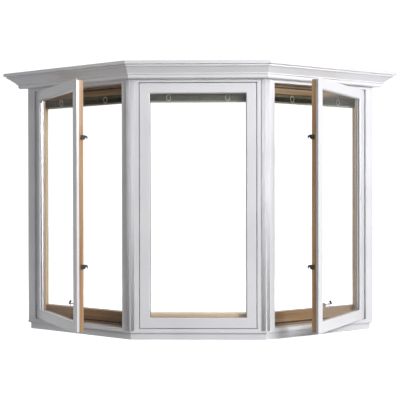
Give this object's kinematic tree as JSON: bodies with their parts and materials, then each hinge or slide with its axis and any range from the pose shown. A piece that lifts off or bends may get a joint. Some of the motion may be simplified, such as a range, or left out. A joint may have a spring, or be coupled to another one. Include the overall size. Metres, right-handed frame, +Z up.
{
  "type": "angled bay window unit",
  "caption": "Three-light angled bay window with a fixed centre sash and crank-out casement sashes on the flanks, under a crown moulding.",
  "frame": {"origin": "middle of the underside, in the plane of the outer wall face", "axes": "+X along the wall, +Y into the room, +Z up; the outside is towards -Y"},
  "size_m": [2.5036, 0.7558, 1.624],
  "materials": {
    "cladding": "satin factory enamel",
    "trim": "satin factory enamel",
    "sash_wood": "clear varnish",
    "frame_wood": "clear varnish",
    "pine": "clear varnish",
    "board_wood": "sanded",
    "glass": "clear",
    "seal": "matte",
    "spacer": "mill",
    "blind": "satin",
    "blind_edge": "satin",
    "ladder_cord": "woven",
    "steel": "brushed",
    "bronze": "semi-gloss enamel",
    "cover": "moulded",
    "knob": "moulded"
  },
  "bodies": {
    "bay": {"platform": "board_wood", "seat_board": "board_wood", "head_board": "board_wood", "roof_boards": "board_wood", "crown_moulding": "trim", "skirt_moulding": "trim", "drip_edge": "cladding", "mullion_posts": "frame_wood", "exterior_trims": "trim", "interior_casings": "pine", "left_frame": "frame_wood", "centre_frame": "frame_wood", "right_frame": "frame_wood", "frame_cladding": "cladding", "interior_stops": "pine", "weather_seals": "seal", "blind_head_rails": "blind", "blind_slats": "blind", "blind_bottom_rails": "blind_edge", "blind_ladder_loops": "ladder_cord", "hinge_tracks": "steel", "crank_housings": "bronze", "crank_covers": "cover", "lock_plates": "bronze", "snubbers": "cover", "centre_sash": "sash_wood", "centre_sash_cladding": "cladding", "centre_glass": "glass", "centre_glazing": "spacer", "centre_sash_clips": "steel"},
    "left_hinge_arm_pair": {"left_hinge_arms": "steel"},
    "left_casement": {"left_sash": "sash_wood", "left_sash_cladding": "cladding", "left_glass": "glass", "left_glazing": "spacer", "left_keepers": "bronze", "left_sash_fittings": "steel"},
    "left_shoe_pair": {"left_hinge_shoes": "cover"},
    "left_crank_arm_body": {"left_crank_arm": "steel"},
    "left_crank_slider_body": {"left_crank_slider": "cover"},
    "left_crank_spindle_body": {"left_crank_spindle": "steel"},
    "left_crank_handle_body": {"left_crank_handle": "bronze"},
    "left_crank_knob_body": {"left_crank_knob": "knob"},
    "left_lock_lever_body": {"left_lock_lever": "bronze"},
    "left_lock_bar_body": {"left_lock_bar": "steel"},
    "right_hinge_arm_pair": {"right_hinge_arms": "steel"},
    "right_casement": {"right_sash": "sash_wood", "right_sash_cladding": "cladding", "right_glass": "glass", "right_glazing": "spacer", "right_keepers": "bronze", "right_sash_fittings": "steel"},
    "right_shoe_pair": {"right_hinge_shoes": "cover"},
    "right_crank_arm_body": {"right_crank_arm": "steel"},
    "right_crank_slider_body": {"right_crank_slider": "cover"},
    "right_crank_spindle_body": {"right_crank_spindle": "steel"},
    "right_crank_handle_body": {"right_crank_handle": "bronze"},
    "right_crank_knob_body": {"right_crank_knob": "knob"},
    "right_lock_lever_body": {"right_lock_lever": "bronze"},
    "right_lock_bar_body": {"right_lock_bar": "steel"}
  },
  "joints": [
    {"name": "left_hinge_arm_turn", "type": "hinge", "parent": "bay", "child": "left_hinge_arm_pair", "pos_m": [-0.9676, -0.04745, 0.0703], "axis": [0, 0, 1], "range_deg": [-28.01, 32.01]},
    {"name": "left_sash_swing", "type": "hinge", "parent": "left_hinge_arm_pair", "child": "left_casement", "pos_m": [-0.99958, -0.04633, 0.0723], "axis": [0, 0, -1], "range_deg": [-56, 64]},
    {"name": "left_shoe_turn", "type": "hinge", "parent": "left_casement", "child": "left_shoe_pair", "pos_m": [-1.01654, -0.01919, 0.0678], "axis": [0, 0, 1], "range_deg": [-28.01, 32.01]},
    {"name": "left_crank_arm_turn", "type": "hinge", "parent": "bay", "child": "left_crank_arm_body", "pos_m": [-0.80612, -0.10604, 0.0685], "axis": [0, 0, -1], "range_deg": [-63.12, 72.13]},
    {"name": "left_crank_slider_turn", "type": "hinge", "parent": "left_crank_arm_body", "child": "left_crank_slider_body", "pos_m": [-0.84615, -0.29177, 0.0726], "axis": [0, 0, 1], "range_deg": [-35.12, 40.13]},
    {"name": "left_crank_turn", "type": "hinge", "parent": "bay", "child": "left_crank_spindle_body", "pos_m": [-0.83095, -0.08824, 0.0722], "axis": [0.3716, 0.6436, 0.6691], "range_deg": [-1199.05, 1370.34]},
    {"name": "left_handle_fold", "type": "hinge", "parent": "left_crank_spindle_body", "child": "left_crank_handle_body", "pos_m": [-0.78474, -0.00819, 0.15543], "axis": [0.3346, 0.5795, -0.7431], "range_deg": [0, 110]},
    {"name": "left_knob_spin", "type": "hinge", "parent": "left_crank_handle_body", "child": "left_crank_knob_body", "pos_m": [-0.83843, 0.02281, 0.15543], "axis": [0.3716, 0.6436, 0.6691], "continuous": true},
    {"name": "left_lever_turn", "type": "hinge", "parent": "bay", "child": "left_lock_lever_body", "pos_m": [-0.41245, -0.2779, 0.374], "axis": [-0.5, -0.866, 0], "range_deg": [0, 140.06]},
    {"name": "left_bar_slide", "type": "slide", "parent": "bay", "child": "left_lock_bar_body", "axis": [0, 0, 1], "range_m": [0, 0.0221]},
    {"name": "right_hinge_arm_turn", "type": "hinge", "parent": "bay", "child": "right_hinge_arm_pair", "pos_m": [0.9676, -0.04745, 0.0703], "axis": [0, 0, -1], "range_deg": [-28.01, 32.01]},
    {"name": "right_sash_swing", "type": "hinge", "parent": "right_hinge_arm_pair", "child": "right_casement", "pos_m": [0.99958, -0.04633, 0.0723], "axis": [0, 0, 1], "range_deg": [-56, 64]},
    {"name": "right_shoe_turn", "type": "hinge", "parent": "right_casement", "child": "right_shoe_pair", "pos_m": [1.01654, -0.01919, 0.0678], "axis": [0, 0, -1], "range_deg": [-28.01, 32.01]},
    {"name": "right_crank_arm_turn", "type": "hinge", "parent": "bay", "child": "right_crank_arm_body", "pos_m": [0.80612, -0.10604, 0.0685], "axis": [0, 0, 1], "range_deg": [-63.12, 72.13]},
    {"name": "right_crank_slider_turn", "type": "hinge", "parent": "right_crank_arm_body", "child": "right_crank_slider_body", "pos_m": [0.84615, -0.29177, 0.0726], "axis": [0, 0, -1], "range_deg": [-35.12, 40.13]},
    {"name": "right_crank_turn", "type": "hinge", "parent": "bay", "child": "right_crank_spindle_body", "pos_m": [0.83095, -0.08824, 0.0722], "axis": [0.3716, -0.6436, -0.6691], "range_deg": [-1199.05, 1370.34]},
    {"name": "right_handle_fold", "type": "hinge", "parent": "right_crank_spindle_body", "child": "right_crank_handle_body", "pos_m": [0.78474, -0.00819, 0.15543], "axis": [0.3346, -0.5795, 0.7431], "range_deg": [0, 110]},
    {"name": "right_knob_spin", "type": "hinge", "parent": "right_crank_handle_body", "child": "right_crank_knob_body", "pos_m": [0.83843, 0.02281, 0.15543], "axis": [0.3716, -0.6436, -0.6691], "continuous": true},
    {"name": "right_lever_turn", "type": "hinge", "parent": "bay", "child": "right_lock_lever_body", "pos_m": [0.41245, -0.2779, 0.374], "axis": [-0.5, 0.866, 0], "range_deg": [0, 140.06]},
    {"name": "right_bar_slide", "type": "slide", "parent": "bay", "child": "right_lock_bar_body", "axis": [0, 0, 1], "range_m": [0, 0.0221]}
  ],
  "couplings": [
    {"joint": "left_hinge_arm_turn", "follows": "left_sash_swing", "ratio": 0.5},
    {"joint": "left_shoe_turn", "follows": "left_sash_swing", "ratio": 0.5},
    {"joint": "left_crank_arm_turn", "follows": "left_sash_swing", "ratio": 1.1269},
    {"joint": "left_crank_slider_turn", "follows": "left_sash_swing", "ratio": 0.62691},
    {"joint": "left_crank_turn", "follows": "left_sash_swing", "ratio": 21.411},
    {"joint": "left_bar_slide", "follows": "left_lever_turn", "m_per_rad": 0.009},
    {"joint": "right_hinge_arm_turn", "follows": "right_sash_swing", "ratio": 0.5},
    {"joint": "right_shoe_turn", "follows": "right_sash_swing", "ratio": 0.5},
    {"joint": "right_crank_arm_turn", "follows": "right_sash_swing", "ratio": 1.1269},
    {"joint": "right_crank_slider_turn", "follows": "right_sash_swing", "ratio": 0.62691},
    {"joint": "right_crank_turn", "follows": "right_sash_swing", "ratio": 21.411},
    {"joint": "right_bar_slide", "follows": "right_lever_turn", "m_per_rad": 0.009}
  ]
}
